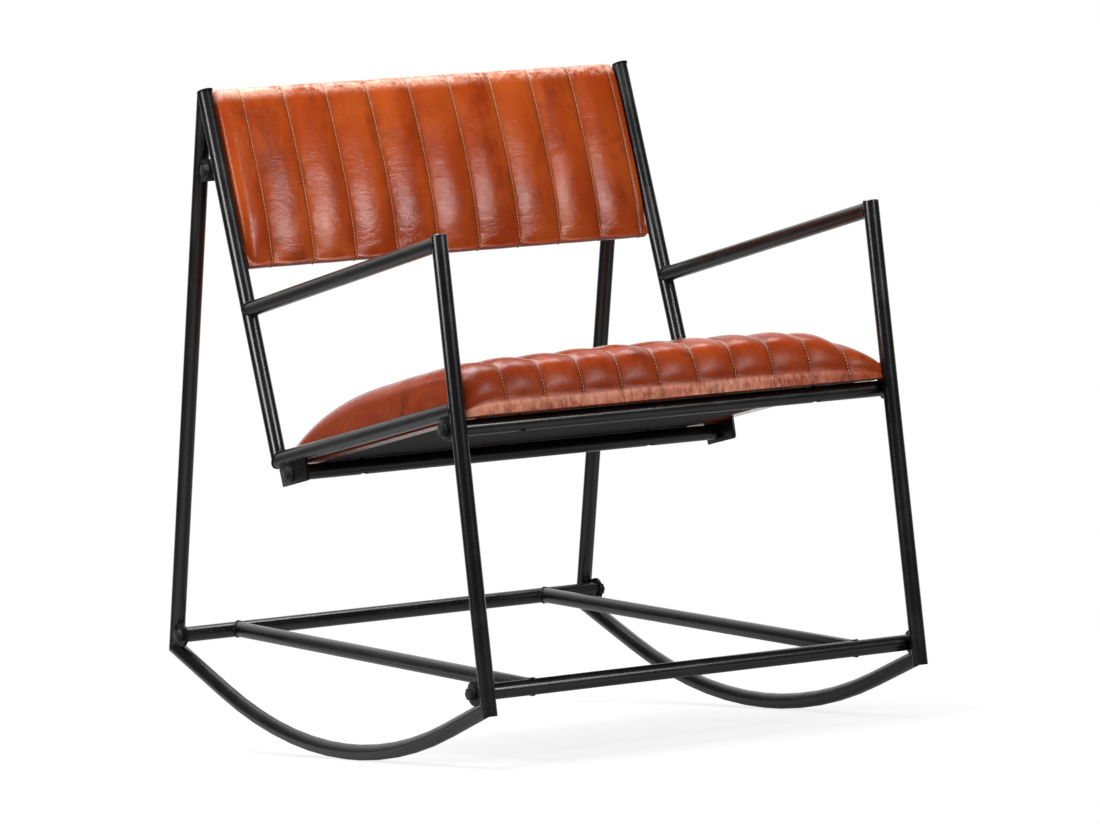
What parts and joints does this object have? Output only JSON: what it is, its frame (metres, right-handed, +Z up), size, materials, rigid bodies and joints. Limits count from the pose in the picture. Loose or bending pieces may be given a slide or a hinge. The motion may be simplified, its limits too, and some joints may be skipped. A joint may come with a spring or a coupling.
{
  "type": "rocking chair",
  "caption": "Low lounge rocking chair: welded round steel tube sides on curved runners, bolted cross tubes, and leather seat and back pads sewn in channels.",
  "frame": {"origin": "on the floor, under the middle of the overall box; the chair rests there at its own balance", "axes": "+X to the sitter's left, +Y to the rear of the chair, +Z up"},
  "size_m": [0.6124, 0.8192, 0.8129],
  "materials": {
    "tube_paint": "smooth black paint, semi-gloss",
    "plate_paint": "smooth black paint, semi-gloss",
    "bolts": "black steel, satin",
    "screws": "black steel, satin",
    "leather": "waxed cognac leather, darker in patches, semi-gloss",
    "foam": "upholstery foam, matte",
    "plywood": "plain plywood",
    "lining": "dark grey cloth, matte"
  },
  "bodies": {
    "root": {"rocker_left": "tube_paint", "rocker_right": "tube_paint", "rear_leg_left": "tube_paint", "rear_leg_right": "tube_paint", "back_post_left": "tube_paint", "back_post_right": "tube_paint", "seat_rail_left": "tube_paint", "seat_rail_right": "tube_paint", "arm_left": "tube_paint", "arm_right": "tube_paint", "front_leg_left": "tube_paint", "front_leg_right": "tube_paint", "apex_cap_left": "tube_paint", "apex_cap_right": "tube_paint", "leg_cap_left": "tube_paint", "leg_cap_right": "tube_paint", "base_front_tube": "tube_paint", "base_rear_tube": "tube_paint", "seat_front_tube": "tube_paint", "seat_rear_tube": "tube_paint", "back_tube": "tube_paint", "base_long_tube_left": "tube_paint", "base_long_tube_right": "tube_paint", "base_front_lug_left": "plate_paint", "base_front_lug_right": "plate_paint", "base_rear_lug_left": "plate_paint", "base_rear_lug_right": "plate_paint", "seat_front_plate_left": "plate_paint", "seat_front_plate_right": "plate_paint", "seat_rear_plate_left": "plate_paint", "seat_rear_plate_right": "plate_paint", "back_plate_left": "plate_paint", "back_plate_right": "plate_paint", "base_front_bolt_left": "bolts", "base_front_bolt_right": "bolts", "base_rear_bolt_left": "bolts", "base_rear_bolt_right": "bolts", "seat_front_bolt_left": "bolts", "seat_front_bolt_right": "bolts", "seat_rear_bolt_left": "bolts", "seat_rear_bolt_right": "bolts", "back_bolt_left": "bolts", "back_bolt_right": "bolts", "seat_cover": "leather", "seat_foam": "foam", "seat_board": "plywood", "seat_lining": "lining", "seat_screw_1": "screws", "seat_screw_2": "screws", "seat_screw_3": "screws", "seat_screw_4": "screws", "back_cover": "leather", "back_foam": "foam", "back_board": "plywood", "back_lining": "lining", "back_screw_1": "screws", "back_screw_2": "screws", "back_screw_3": "screws"}
  },
  "joints": []
}
